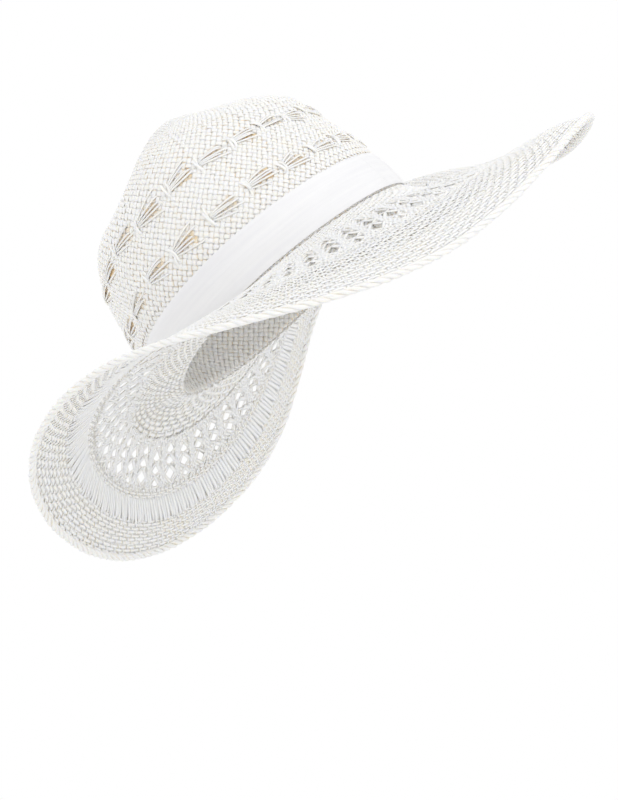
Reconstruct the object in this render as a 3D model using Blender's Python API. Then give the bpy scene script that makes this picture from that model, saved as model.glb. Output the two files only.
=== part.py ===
"""A wide-brimmed straw sun hat: crown, brim, ribbon band and edge braid.

The hat is in its own frame: +Z up through the crown, front towards -Y, the wearer's
right side towards -X.  The origin is the centre of the head opening.  Angles go round
the hat from the front, through the wearer's right side, to the back.
"""
import bpy
import bmesh
import numpy as np
from math import radians

# Driving sizes in metres
HEAD_LENGTH = 0.196          # the crown's foot from front to back, outside
HEAD_WIDTH = 0.162           # the crown's foot from side to side, outside
CROWN_HEIGHT = 0.127         # from the head opening to the top, before the dents
BRIM_WIDTH = 0.124           # along the straw, from the crown to the outer edge
CROWN_WALL = 0.0016          # straw of the crown
BRIM_WALL = 0.0016           # straw of the brim
BAND_WIDTH = 0.0285          # ribbon, lower edge to upper edge
BAND_THICKNESS = 0.0010      # ribbon, one turn
BRAID_WIDTH = 0.0056         # the rope at the edge, along the brim
BRAID_THICKNESS = 0.0042     # the rope at the edge, across the brim
FIT_GAP = 0.0003             # air between pieces that touch
BAND_FADE = 0.0080           # height over which the straw swells out above the ribbon
LACE_START = 0.0300          # from the crown to the first row of openings
LACE_HOLE_LENGTH = 0.0145    # one opening, along the brim
LACE_BAR = 0.0040            # straw between the two rows of openings

# Counts
LACE_HOLES = 56              # openings in one row, as wide as the straw between them
CROWN_COLUMNS = 56           # facets round the crown and the ribbon
BAND_RINGS = 4               # rings up the ribbon's width, from the foot's upright strip
CROWN_RINGS = 10             # rings of the crown above the ribbon
DENSE_RINGS = 3              # rings of plain brim between the crown and the openings
PLAIN_RINGS = 4              # rings of plain brim outside the openings
BRAID_SIDES = 6              # sides of the rope's section
STRAND_STEPS = 124           # short steps in which a strand of the brim is followed

# The brim, one row for each twelfth of a turn from the front.  The seat is the height of
# the join with the crown, a share of BRIM_WIDTH.  The rise is the slope of the straw in
# degrees, up or down, at the crown, half way out and at the rim.  The swing turns the
# straw sideways at the rim, in degrees.
BRIM_ROWS = (
    # seat, rise at crown, half way, at rim, swing
    (-0.01, -48, -19, -33, 4),
    (-0.03, -24, -38, -52, -7),
    (-0.04, -21, -21, -29, -14),
    (-0.05, 2, -6, 5, -6),
    (-0.06, 11, -4, -15, -5),
    (-0.08, 29, -28, -39, -3),
    (-0.06, 17, -37, -44, -15),
    (-0.03, 19, -21, -38, -22),
    (0.01, 22, 17, -23, -2),
    (0.03, 12, 31, -33, -6),
    (0.02, -4, 3, -54, 5),
    (0.01, -50, -2, -41, 8),
)
SEAT, RISE_CROWN, RISE_MIDDLE, RISE_RIM, SWING = range(5)

# The crown, one row for each section from its foot to its top.  The height is a share of
# CROWN_HEIGHT; front and back are shares of half HEAD_LENGTH, side of half HEAD_WIDTH.
# The first two rows make the upright strip that is stitched to the brim.  Up to
# BAND_WIDTH the form is the ribbon's, and the straw lies just inside it.
CROWN_ROWS = (
    # height, front, back, side
    (0.00, 1.00, 1.00, 1.00),
    (0.025, 1.00, 1.00, 1.00),
    (0.13, 0.98, 1.06, 1.02),
    (0.27, 0.93, 1.12, 1.02),
    (0.43, 0.86, 1.14, 1.00),
    (0.58, 0.78, 1.13, 0.94),
    (0.72, 0.68, 1.06, 0.86),
    (0.84, 0.48, 0.92, 0.71),
    (0.93, 0.28, 0.72, 0.53),
    (0.985, 0.15, 0.45, 0.31),
    (1.00, 0.00, 0.00, 0.00),
)
HEIGHT, FRONT, BACK, SIDE = range(4)

# Soft dents in the crown: where they lie (turn in degrees, height as above) and how far
# they push the straw out along its own normal, a share of CROWN_HEIGHT.
CROWN_DENTS = (
    # turn, height, push
    (140, 0.45, -0.035),
    (175, 0.80, -0.080),
    (130, 0.95, -0.115),
    (325, 0.80, 0.035),
)
DENT_SPREAD = 0.0305         # distance in metres over which a dent fades


def spline_slopes(values, closed):
    """Slopes at the rows of a table, for a smooth curve through all of them."""
    if not closed:
        return np.gradient(values, axis=0)
    count = len(values)
    near = np.eye(count)
    weights = 4 * near + np.roll(near, 1, axis=1) + np.roll(near, -1, axis=1)
    steps = np.roll(values, -1, axis=0) - np.roll(values, 1, axis=0)
    return np.linalg.solve(weights, 3 * steps)


def through_rows(values, at, closed=False):
    """Read a table of rows smoothly at the row numbers in at."""
    slopes = spline_slopes(values, closed)
    low = np.floor(at).astype(int)
    if not closed:
        low = np.clip(low, 0, len(values) - 2)
    part = (at - low)[:, None]
    high = (low + 1) % len(values)
    low = low % len(values)
    rise = values[high] - values[low]
    bend_low = slopes[low] - rise
    bend_high = rise - slopes[high]
    blend = (1 - part) * bend_low + part * bend_high
    return values[low] + part * rise + part * (1 - part) * blend


def brim_columns(turns):
    """The brim's table read at each turn, angles in radians and seat in metres."""
    rows = np.array(BRIM_ROWS, float)
    read = through_rows(rows, turns / 360 * len(rows), closed=True)
    read[:, SEAT] *= BRIM_WIDTH
    read[:, RISE_CROWN:] = np.radians(read[:, RISE_CROWN:])
    return read


def opening_edge(turns):
    """Points of the head opening's ellipse and the way out from it, for each turn."""
    angle = np.radians(turns)
    half_length = HEAD_LENGTH / 2
    half_width = HEAD_WIDTH / 2
    point = np.stack([-half_width * np.sin(angle), -half_length * np.cos(angle)], axis=1)
    out = np.stack([-np.sin(angle) / half_width, -np.cos(angle) / half_length], axis=1)
    return point, out / np.linalg.norm(out, axis=1, keepdims=True)


def strand_directions(turns, along):
    """The way each strand of the brim runs, at distances along it from the crown."""
    table = brim_columns(turns)
    out = opening_edge(turns)[1]
    side = np.stack([-out[:, 1], out[:, 0]], axis=1)
    share = along / BRIM_WIDTH
    at_crown = 2 * (share - 0.5) * (share - 1)
    at_middle = -4 * share * (share - 1)
    at_rim = 2 * share * (share - 0.5)
    rise = (table[:, RISE_CROWN, None] * at_crown + table[:, RISE_MIDDLE, None] * at_middle
            + table[:, RISE_RIM, None] * at_rim)
    swing = table[:, SWING, None] * share
    flat = out[:, None] * np.cos(swing)[..., None] + side[:, None] * np.sin(swing)[..., None]
    return np.concatenate([flat * np.cos(rise)[..., None], np.sin(rise)[..., None]], axis=2)


def brim_strands(turns, along):
    """The brim's upper face: a grid of points, one strand for each turn."""
    fine = np.linspace(0, BRIM_WIDTH, STRAND_STEPS + 1)
    way = strand_directions(turns, fine)
    walked = np.cumsum((way[:, 1:] + way[:, :-1]) / 2 * fine[1], axis=1)
    walked = np.concatenate([np.zeros_like(walked[:, :1]), walked], axis=1)
    point = opening_edge(turns)[0]
    seat = brim_columns(turns)[:, SEAT]
    foot = np.concatenate([point, seat[:, None]], axis=1)
    grid = np.empty((len(turns), len(along), 3))
    for column, strand in enumerate(walked):
        for axis in range(3):
            grid[column, :, axis] = foot[column, axis] + np.interp(along, fine, strand[:, axis])
    return grid


def grid_normals(grid):
    """Outward normals of a grid of points that closes round the hat."""
    round_the_hat = np.roll(grid, -1, axis=0) - np.roll(grid, 1, axis=0)
    up_the_hat = np.gradient(grid, axis=1)
    normal = np.cross(up_the_hat, round_the_hat)
    return normal / np.maximum(np.linalg.norm(normal, axis=2, keepdims=True), 1e-12)


def crown_section(turns, section):
    """The crown's form without dents, where section gives height and the three reaches."""
    angle = np.radians(turns)[:, None]
    seat = brim_columns(turns)[:, SEAT, None]
    to_front = 0.5 + 0.5 * np.cos(angle)
    reach = section[:, FRONT] * to_front + section[:, BACK] * (1 - to_front)
    x = -HEAD_WIDTH / 2 * np.sin(angle) * section[:, SIDE]
    y = -HEAD_LENGTH / 2 * np.cos(angle) * reach
    z = seat * (1 - section[:, HEIGHT]) + CROWN_HEIGHT * section[:, HEIGHT]
    return np.stack([x, y, z], axis=2)


def crown_rows_read(at):
    """The crown's table read at row numbers, running on smoothly over its top."""
    rows = np.array(CROWN_ROWS)
    beyond = rows[-2] * (1, -1, -1, -1)
    return through_rows(np.vstack([rows, beyond]), at)


def crown_heights():
    """Closely spaced row numbers of the crown's table and the height share at each."""
    fine = np.linspace(0, len(CROWN_ROWS) - 1, 400)
    return fine, crown_rows_read(fine)[:, HEIGHT]


def dented_grid(turns, at):
    """The form of crown and ribbon with its dents: points for each turn and row number."""
    grid = crown_section(turns, crown_rows_read(at))
    push = np.zeros(grid.shape[:2])
    fine, heights = crown_heights()
    for turn, height, share in CROWN_DENTS:
        row = np.interp(height, heights, fine)
        centre = crown_section(np.array([float(turn)]), crown_rows_read(np.array([row])))[0, 0]
        apart = np.sum((grid - centre) ** 2, axis=2)
        push += share * CROWN_HEIGHT * np.exp(-apart / DENT_SPREAD ** 2)
    return grid + grid_normals(grid) * push[..., None]


def row_at_height(height):
    """Row number of the crown's table at a height above the head opening, in metres."""
    fine, heights = crown_heights()
    return np.interp(height / CROWN_HEIGHT, heights, fine)


def crown_row_numbers():
    """Row numbers of the crown's rings: its foot, up the ribbon, then up to the top."""
    foot_height = CROWN_ROWS[1][HEIGHT] * CROWN_HEIGHT
    band = row_at_height(np.linspace(foot_height, BAND_WIDTH, BAND_RINGS))
    top = len(CROWN_ROWS) - 1
    above = band[-1] + (top - band[-1]) * np.arange(1, CROWN_RINGS + 1) / (CROWN_RINGS + 0.4)
    return np.concatenate([[0.0], band, above])


def crown_and_band_grids(turns):
    """The outer faces of the straw and of the ribbon, ring for ring the same."""
    rows = crown_row_numbers()
    ribbon = dented_grid(turns, rows)
    outward = grid_normals(ribbon)
    heights = crown_rows_read(rows)[:, HEIGHT] * CROWN_HEIGHT
    fade = np.clip((heights - BAND_WIDTH) / BAND_FADE, 0, 1)
    inside = (FIT_GAP + BAND_THICKNESS) * (1 - fade * fade * (3 - 2 * fade))
    straw = ribbon - outward * inside[:, None]
    foot = brim_columns(turns)[:, SEAT] + FIT_GAP
    straw[:, 0, 2] = foot
    ribbon[:, 0, 2] = foot
    return straw, ribbon[:, :1 + BAND_RINGS]


def plain_material(name, colour, roughness):
    """A material of one colour for a piece of straw or ribbon."""
    material = bpy.data.materials.new(name)
    material.use_nodes = True
    shader = material.node_tree.nodes["Principled BSDF"]
    shader.inputs["Base Color"].default_value = (*colour, 1.0)
    shader.inputs["Roughness"].default_value = roughness
    shader.inputs["Metallic"].default_value = 0.0
    return material


def new_piece(name, mesh_edit, material):
    """Turn a bmesh into a smooth named object with its own material."""
    mesh = bpy.data.meshes.new(name)
    mesh_edit.to_mesh(mesh)
    mesh_edit.free()
    mesh.materials.append(material)
    mesh.shade_smooth()
    mesh.set_sharp_from_angle(angle=radians(40))
    piece = bpy.data.objects.new(name, mesh)
    bpy.context.collection.objects.link(piece)
    return piece


def sheet_of(grid, left_out=()):
    """A sheet through a grid of points that closes round the hat, with cells left out.

    Its faces look outwards when the rings run down the crown or out along the brim.
    """
    edit = bmesh.new()
    columns, rings = grid.shape[:2]
    corners = [[edit.verts.new(grid[c, r]) for r in range(rings)] for c in range(columns)]
    for c in range(columns):
        after = (c + 1) % columns
        for r in range(rings - 1):
            if (c, r) in left_out:
                continue
            edit.faces.new((corners[c][r], corners[after][r],
                            corners[after][r + 1], corners[c][r + 1]))
    return edit, corners


def give_thickness(piece, thickness):
    """Thicken a sheet on its inner side, so that the modelled face stays outside."""
    solidify = piece.modifiers.new("wall", "SOLIDIFY")
    solidify.thickness = thickness
    solidify.offset = -1
    solidify.use_even_offset = True
    solidify.use_rim = True
    return piece


def crown_turns():
    """Turns of the columns that crown and ribbon share."""
    return np.arange(CROWN_COLUMNS) * 360 / CROWN_COLUMNS


def make_crown(material):
    """The crown: an upright foot, then the rings of the table, closed at the top."""
    turns = crown_turns()
    grid = crown_and_band_grids(turns)[0]
    edit, corners = sheet_of(grid[:, ::-1])
    top = len(CROWN_ROWS) - 1
    near_top = dented_grid(turns, np.array([top - 0.1, top - 0.05]))[:, 1]
    summit = edit.verts.new(near_top.mean(axis=0))
    for column in range(len(turns)):
        after = (column + 1) % len(turns)
        edit.faces.new((summit, corners[after][0], corners[column][0]))
    return give_thickness(new_piece("crown", edit, material), CROWN_WALL)


def brim_turns():
    """Turns of the brim's columns: each opening of a row lies between two of them."""
    return np.arange(2 * LACE_HOLES) * 180 / LACE_HOLES


def brim_rings():
    """Distances along the brim of its rings, and the numbers of the two open bands."""
    first_end = LACE_START + LACE_HOLE_LENGTH
    second_start = first_end + LACE_BAR
    second_end = second_start + LACE_HOLE_LENGTH
    sheet_end = BRIM_WIDTH - BRAID_WIDTH - FIT_GAP
    dense = np.linspace(0, LACE_START, DENSE_RINGS + 1)[:-1]
    openwork = [LACE_START, first_end, second_start, second_end]
    plain = np.linspace(second_end, sheet_end, PLAIN_RINGS + 1)[1:]
    return np.array([*dense, *openwork, *plain]), (len(dense), len(dense) + 2)


def make_brim(material):
    """The brim: a flat step under the crown's foot, then the drooping strands."""
    turns = brim_turns()
    rings, open_bands = brim_rings()
    grid = brim_strands(turns, rings)
    point, out = opening_edge(turns)
    step = grid[:, :1].copy()
    step[:, 0, :2] = point - out * (FIT_GAP + BAND_THICKNESS + CROWN_WALL)
    grid = np.concatenate([step, grid], axis=1)
    left_out = set()
    for hole in range(LACE_HOLES):
        for aside, band in enumerate(open_bands):
            left_out.add((2 * hole + aside, band + 1))
    edit = sheet_of(grid, left_out)[0]
    return give_thickness(new_piece("brim", edit, material), BRIM_WALL)


def make_hat_band(material):
    """The ribbon: round the crown's foot, a gap outside the straw."""
    grid = crown_and_band_grids(crown_turns())[1]
    edit = sheet_of(grid[:, ::-1])[0]
    return give_thickness(new_piece("hat_band", edit, material), BAND_THICKNESS)


def make_edge_braid(material):
    """The rope along the brim's outer edge: a six-sided ring beside the sheet's end."""
    turns = brim_turns()
    last_rings = brim_strands(turns, brim_rings()[0][-2:])
    edge = last_rings[:, 1]
    way = edge - last_rings[:, 0]
    way /= np.linalg.norm(way, axis=1, keepdims=True)
    along_edge = np.roll(edge, -1, axis=0) - np.roll(edge, 1, axis=0)
    up = np.cross(along_edge, way)
    up /= np.linalg.norm(up, axis=1, keepdims=True)
    flat_side = np.cos(np.pi / BRAID_SIDES)
    centre = edge + way * (FIT_GAP + BRAID_WIDTH / 2) - up * BRIM_WALL / 2
    edit = bmesh.new()
    loops = []
    for column in range(len(turns)):
        loop = []
        for side in range(BRAID_SIDES):
            angle = (side + 0.5) * 2 * np.pi / BRAID_SIDES
            reach = BRAID_WIDTH / 2 * np.cos(angle) / flat_side
            rise = BRAID_THICKNESS / 2 * np.sin(angle)
            loop.append(edit.verts.new(centre[column] + way[column] * reach + up[column] * rise))
        loops.append(loop)
    for column in range(len(turns)):
        after = loops[(column + 1) % len(turns)]
        for side in range(BRAID_SIDES):
            beside = (side + 1) % BRAID_SIDES
            edit.faces.new((loops[column][side], loops[column][beside], after[beside], after[side]))
    return new_piece("edge_braid", edit, material)


def main():
    for thing in list(bpy.data.objects):
        bpy.data.objects.remove(thing, do_unlink=True)
    make_crown(plain_material("white straw of the crown", (0.90, 0.88, 0.83), 0.70))
    make_brim(plain_material("white straw of the brim", (0.91, 0.90, 0.86), 0.70))
    make_hat_band(plain_material("white ribbon", (0.93, 0.93, 0.95), 0.55))
    make_edge_braid(plain_material("white straw rope", (0.92, 0.91, 0.87), 0.65))


main()
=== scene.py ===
# %% [markdown]
# # A white straw sun hat
# The hat is woven from flat strips of white paper straw: a soft rounded crown, a ribbon
# round its foot, a wide drooping brim with a ring of openwork and a ring of long smooth
# strands, and a twisted rope along the edge.  A picture of weave on a smooth shell would be
# quicker.  This lesson lays every strand as real geometry instead, because the weave is
# what makes straw look like straw, and it has to hold up at the edges and openings too.

import bpy
import numpy as np
from math import radians, sin, cos
from mathutils import Matrix, Vector


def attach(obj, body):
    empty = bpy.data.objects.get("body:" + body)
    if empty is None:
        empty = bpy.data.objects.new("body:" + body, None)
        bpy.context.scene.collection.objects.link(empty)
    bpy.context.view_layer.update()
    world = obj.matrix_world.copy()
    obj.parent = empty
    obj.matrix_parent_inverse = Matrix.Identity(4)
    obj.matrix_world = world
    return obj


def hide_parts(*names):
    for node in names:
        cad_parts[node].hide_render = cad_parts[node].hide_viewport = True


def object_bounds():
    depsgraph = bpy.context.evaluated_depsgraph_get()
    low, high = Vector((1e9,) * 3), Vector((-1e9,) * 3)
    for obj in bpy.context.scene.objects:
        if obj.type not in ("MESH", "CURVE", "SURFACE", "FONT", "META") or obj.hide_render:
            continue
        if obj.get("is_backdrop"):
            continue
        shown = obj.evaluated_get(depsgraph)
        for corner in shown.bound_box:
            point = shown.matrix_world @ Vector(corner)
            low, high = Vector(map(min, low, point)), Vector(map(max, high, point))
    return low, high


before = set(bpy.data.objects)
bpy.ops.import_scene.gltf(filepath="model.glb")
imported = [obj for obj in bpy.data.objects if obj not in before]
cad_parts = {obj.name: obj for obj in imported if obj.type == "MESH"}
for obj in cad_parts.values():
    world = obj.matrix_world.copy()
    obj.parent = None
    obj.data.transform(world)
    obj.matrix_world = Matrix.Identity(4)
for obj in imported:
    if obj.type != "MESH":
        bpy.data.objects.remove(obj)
cad_box = [list(corner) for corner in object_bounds()]
print("solids to dress:", sorted(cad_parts))

# %% [markdown]
# ## The form
# A hat like this has no straight line: the brim leaves an oval opening as a fan of
# strands, each with its own slope, and the crown is a stack of sections pushed in by a
# few soft dents.  Both are read from short tables, so that the weave can ask for a point
# anywhere on them.

# %% Sizes in metres and the brim's table
HEAD_LENGTH, HEAD_WIDTH = 0.196, 0.162
CROWN_HEIGHT, BRIM_WIDTH = 0.127, 0.124
STRAW_WALL = 0.0016
BAND_WIDTH, BAND_THICKNESS = 0.0285, 0.0010
BRAID_WIDTH = 0.0056
FIT_GAP, BAND_FADE = 0.0003, 0.0080
BRIM_ROWS = np.array((
    # seat (share of the width), rise at crown, half way, at rim, swing (degrees)
    (-0.01, -48, -19, -33, 4),
    (-0.03, -24, -38, -52, -7),
    (-0.04, -21, -21, -29, -14),
    (-0.05, 2, -6, 5, -6),
    (-0.06, 11, -4, -15, -5),
    (-0.08, 29, -28, -39, -3),
    (-0.06, 17, -37, -44, -15),
    (-0.03, 19, -21, -38, -22),
    (0.01, 22, 17, -23, -2),
    (0.03, 12, 31, -33, -6),
    (0.02, -4, 3, -54, 5),
    (0.01, -50, -2, -41, 8),
), float)


def slopes_of(values, closed):
    """Slopes at the rows of a table, for a smooth curve through all of them."""
    if not closed:
        return np.gradient(values, axis=0)
    near = np.eye(len(values))
    weights = 4 * near + np.roll(near, 1, axis=1) + np.roll(near, -1, axis=1)
    return np.linalg.solve(weights, 3 * (np.roll(values, -1, axis=0) - np.roll(values, 1, axis=0)))


def read_table(values, at, closed=False):
    """Read a table of rows smoothly at the row numbers in at."""
    slopes = slopes_of(values, closed)
    low = np.floor(at).astype(int)
    if not closed:
        low = np.clip(low, 0, len(values) - 2)
    part = (at - low)[:, None]
    high, low = (low + 1) % len(values), low % len(values)
    rise = values[high] - values[low]
    blend = (1 - part) * (slopes[low] - rise) + part * (rise - slopes[high])
    return values[low] + part * rise + part * (1 - part) * blend


# %% The brim's upper face as a fine grid
def opening_edge(turns):
    """The oval of the head opening and the way out from it, for turns in degrees."""
    angle = np.radians(turns)
    point = np.stack([-HEAD_WIDTH / 2 * np.sin(angle), -HEAD_LENGTH / 2 * np.cos(angle)], axis=1)
    out = np.stack([-np.sin(angle) / HEAD_WIDTH, -np.cos(angle) / HEAD_LENGTH], axis=1)
    return point, out / np.linalg.norm(out, axis=1, keepdims=True)


def brim_seat(turns):
    """Height of the join between brim and crown, for turns in degrees."""
    return read_table(BRIM_ROWS, turns / 30, closed=True)[:, 0] * BRIM_WIDTH


def brim_grid(turns, along):
    """Points of the brim's upper face: one strand for each turn, followed outwards."""
    table = read_table(BRIM_ROWS, turns / 30, closed=True)
    angles = np.radians(table[:, 1:])
    point, out = opening_edge(turns)
    side = np.stack([-out[:, 1], out[:, 0]], axis=1)
    share = along / BRIM_WIDTH
    rise = (angles[:, 0, None] * 2 * (share - 0.5) * (share - 1)
            - angles[:, 1, None] * 4 * share * (share - 1)
            + angles[:, 2, None] * 2 * share * (share - 0.5))
    swing = angles[:, 3, None] * share
    flat = out[:, None] * np.cos(swing)[..., None] + side[:, None] * np.sin(swing)[..., None]
    way = np.concatenate([flat * np.cos(rise)[..., None], np.sin(rise)[..., None]], axis=2)
    steps = np.diff(along)[None, :, None]
    walked = np.cumsum((way[:, 1:] + way[:, :-1]) / 2 * steps, axis=1)
    walked = np.concatenate([np.zeros_like(walked[:, :1]), walked], axis=1)
    start = np.argmin(np.abs(along))
    foot = np.concatenate([point, table[:, :1] * BRIM_WIDTH], axis=1)
    return foot[:, None] + walked - walked[:, start:start + 1]


def normals_of(grid):
    """Normals of a grid that closes round the hat: outwards where its rings run up."""
    normal = np.cross(np.gradient(grid, axis=1), np.roll(grid, -1, axis=0) - np.roll(grid, 1, axis=0))
    return normal / np.maximum(np.linalg.norm(normal, axis=2, keepdims=True), 1e-12)


# %% The crown's tables and its dented form
CROWN_ROWS = np.array((
    # height, reach to the front, to the back, to the side (shares)
    (0.00, 1.00, 1.00, 1.00),
    (0.025, 1.00, 1.00, 1.00),
    (0.13, 0.98, 1.06, 1.02),
    (0.27, 0.93, 1.12, 1.02),
    (0.43, 0.86, 1.14, 1.00),
    (0.58, 0.78, 1.13, 0.94),
    (0.72, 0.68, 1.06, 0.86),
    (0.84, 0.48, 0.92, 0.71),
    (0.93, 0.28, 0.72, 0.53),
    (0.985, 0.15, 0.45, 0.31),
    (1.00, 0.00, 0.00, 0.00),
))
CROWN_TOP = len(CROWN_ROWS) - 1
CROWN_DENTS = (  # turn, height share, push share
    (140, 0.45, -0.035),
    (175, 0.80, -0.080),
    (130, 0.95, -0.115),
    (325, 0.80, 0.035),
)
DENT_SPREAD = 0.0305


def crown_rows(at):
    """The crown's table at row numbers, running on smoothly over its top."""
    return read_table(np.vstack([CROWN_ROWS, CROWN_ROWS[-2] * (1, -1, -1, -1)]), at)


def crown_sections(turns, section):
    """The crown's form without dents."""
    angle = np.radians(turns)[:, None]
    front = 0.5 + 0.5 * np.cos(angle)
    reach = section[:, 1] * front + section[:, 2] * (1 - front)
    x = -HEAD_WIDTH / 2 * np.sin(angle) * section[:, 3]
    y = -HEAD_LENGTH / 2 * np.cos(angle) * reach
    z = brim_seat(turns)[:, None] * (1 - section[:, 0]) + CROWN_HEIGHT * section[:, 0]
    return np.stack([x, y, z], axis=2)


def crown_form(turns, at):
    """The ribbon's and crown's outer form with its dents, for turns and row numbers."""
    grid = crown_sections(turns, crown_rows(at))
    push = np.zeros(grid.shape[:2])
    fine = np.linspace(0, CROWN_TOP, 400)
    heights = crown_rows(fine)[:, 0]
    for turn, height, share in CROWN_DENTS:
        row = np.interp(height, heights, fine)
        centre = crown_sections(np.array([float(turn)]), crown_rows(np.array([row])))[0, 0]
        apart = np.sum((grid - centre) ** 2, axis=2)
        push += share * CROWN_HEIGHT * np.exp(-apart / DENT_SPREAD ** 2)
    return grid + normals_of(grid) * push[..., None]


# %% [markdown]
# ## A surface to weave on
# A strand of straw only needs to know where it is and which way is out.  A surface here
# is a fine grid of points and normals, read between its corners.  Its first coordinate
# goes once round the hat (a turn from 0 to 1), the second runs across the rings.  Blender
# could find the nearest point of a mesh instead, but a grid is quicker and never jumps.

# %% A surface that can be read anywhere
class Surface:
    """A grid of points and normals that closes round the hat, with its rings from low to high."""

    def __init__(self, grid, normals, low, high):
        self.grid, self.normals = grid, normals
        self.low, self.high = low, high

    def read(self, turn, across, lift=0.0):
        """Points at turn (one for once round) and across, raised by lift."""
        columns, rings = self.grid.shape[:2]
        c = (turn % 1.0) * columns
        r = np.clip((across - self.low) / (self.high - self.low), 0, 1) * (rings - 1)
        c0 = np.floor(c).astype(int)
        r0 = np.minimum(np.floor(r).astype(int), rings - 2)
        fc, fr = (c - c0)[..., None], (r - r0)[..., None]
        c0, c1 = c0 % columns, (c0 + 1) % columns
        found = []
        for field in (self.grid, self.normals):
            near = field[c0, r0] * (1 - fc) + field[c1, r0] * fc
            far = field[c0, r0 + 1] * (1 - fc) + field[c1, r0 + 1] * fc
            found.append(near * (1 - fr) + far * fr)
        point, normal = found
        normal /= np.linalg.norm(normal, axis=-1, keepdims=True)
        return point + normal * np.asarray(lift)[..., None], normal


COLUMNS = 720
turns = np.arange(COLUMNS) * 360 / COLUMNS

# %% [markdown]
# The rings of the brim are not evenly spaced all round: pulling the brim down at the
# back has stretched the part near the crown, and at the front it lies closer.  A second
# table says where the openwork and the smooth ring lie at each turn.

# %% The brim's surface, with its rings where the cloth has settled
RING_MARKS = np.array((0.0, 0.028, 0.066, 0.074, 0.096, BRIM_WIDTH))
RING_SHIFTS = np.array((
    # how far the openwork starts and ends, and the smooth ring starts and ends, in mm
    (0, 3, 0, -2),
    (-1, 4, 2, 0),
    (-1, 2, 0, -3),
    (-1, -3, -5, -6),
    (0, -6, -7, -6),
    (10, 3, 2, -2),
    (19, 14, 12, 7),
    (17, 14, 12, 9),
    (8, 8, 6, 4),
    (0, 0, 0, 0),
    (0, 0, 0, 0),
    (0, 0, 0, 0),
), float) / 1000


BRIM_FROM, BRIM_TO = -0.004, BRIM_WIDTH + 0.001
BRIM_STEPS, BRIM_RINGS = 251, 300


def brim_surface():
    """The upper face of the brim, indexed by turn and by ring distance from the crown."""
    along = np.concatenate([[BRIM_FROM], np.linspace(0, BRIM_TO, BRIM_STEPS)])
    grid = brim_grid(turns, along)
    grid[:, 0] = grid[:, 1]
    out = opening_edge(turns)[1]
    grid[:, 0, :2] += out * BRIM_FROM
    normals = -normals_of(grid)
    normals[:, 0] = normals[:, 1] = normals[:, 2]
    shifts = read_table(RING_SHIFTS, turns / 30, closed=True)
    rings = np.linspace(BRIM_FROM, BRIM_TO, BRIM_RINGS)
    even = np.concatenate([[BRIM_FROM], RING_MARKS, [BRIM_TO]])
    placed = np.empty((COLUMNS, len(rings), 3))
    turned = np.empty_like(placed)
    for column in range(COLUMNS):
        marks = RING_MARKS.copy()
        marks[1:5] += shifts[column]
        where = np.interp(rings, even, np.concatenate([[BRIM_FROM], marks, [BRIM_TO]]))
        for axis in range(3):
            placed[column, :, axis] = np.interp(where, along, grid[column, :, axis])
            turned[column, :, axis] = np.interp(where, along, normals[column, :, axis])
    return Surface(placed, turned, rings[0], rings[-1])


brim = brim_surface()


# %% The crown's surface: straw inside the ribbon's form, ring distance from its foot
CROWN_START, CROWN_END, CROWN_RINGS = 0.35, CROWN_TOP - 0.02, 400  # rows of the table, rings


def crown_surface():
    """The straw's outer face, indexed by turn and mean distance from the foot."""
    at = np.linspace(CROWN_START, CROWN_END, CROWN_RINGS)
    form = crown_form(turns, at)
    outward = normals_of(form)
    heights = crown_rows(at)[:, 0] * CROWN_HEIGHT
    fade = np.clip((heights - BAND_WIDTH) / BAND_FADE, 0, 1)
    inside = (FIT_GAP + BAND_THICKNESS) * (1 - fade * fade * (3 - 2 * fade))
    straw = form - outward * inside[:, None]
    steps = np.linalg.norm(np.diff(straw, axis=1), axis=2).mean(axis=0)
    walked = np.concatenate([[0], np.cumsum(steps)])
    rings = np.linspace(0, walked[-1], CROWN_RINGS)
    back = np.interp(rings, walked, np.arange(len(at)))
    low = np.minimum(np.floor(back).astype(int), len(at) - 2)
    part = (back - low)[:, None]
    placed = straw[:, low] * (1 - part) + straw[:, low + 1] * part
    turned = outward[:, low] * (1 - part) + outward[:, low + 1] * part
    round_it = np.linalg.norm(placed - np.roll(placed, 1, axis=0), axis=2).sum(axis=0)
    return Surface(placed, turned, 0.0, walked[-1]), rings, round_it


crown, crown_rings, crown_round = crown_surface()
print("crown, foot to top:", round(crown.high, 4), "round:", crown_round[::50].round(3))
brim_round = np.linalg.norm(brim.grid - np.roll(brim.grid, 1, axis=0), axis=2).sum(axis=0)
print("brim, round each ring:", brim_round[::50].round(3))

# %% [markdown]
# ## Laying a strand
# A strip of paper straw is flat with soft shoulders.  A curve with a bevel could draw each
# strip, but thousands of curves are slow.  Here each strand is a thin tube laid straight
# into a mesh: four corners make a lens, six a flat strip and eight a round cord, and smooth
# shading rounds them.  All the strands of one direction go into one mesh, which also keeps
# each strand's tone, its depth in the weave and its run in millimetres for the finishes.

# %% Sections of a strand, as shares of its width and thickness
LENS = np.array(((-0.5, 0.0), (0.0, 0.5), (0.5, 0.0), (0.0, -0.5)))
STRIP = np.array(((-0.5, 0.0), (-0.24, 0.46), (0.24, 0.46),
                  (0.5, 0.0), (0.24, -0.46), (-0.24, -0.46)))
round_angles = np.arange(8) * np.pi / 4
ROUND = 0.5 * np.stack([-np.cos(round_angles), np.sin(round_angles)], axis=1)
STRAW_THICKNESS = 0.0008
# Painted shade: strand surfaces near or below mid-wall are tinted tan, standing in for the warm shade
# deep in the weave.
SHADE_FADE = 0.00050  # a strand further than this from mid-wall isn't tinted as deep


def bundle(points, normals, width, thickness, section=LENS, closed=False, level=None):
    """Strands of one kind: their paths, the way out, their size and how deep they lie."""
    return dict(points=points, normals=normals, width=width, thickness=thickness,
                section=section, closed=closed, level=level, tone=rng.random(len(points)))


rng = np.random.default_rng(7)  # seeded, so the hat is the same each time


# %% Corners and faces of strands
def unit(vectors):
    """The same directions with length one."""
    return vectors / np.maximum(np.linalg.norm(vectors, axis=-1, keepdims=True), 1e-12)


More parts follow.
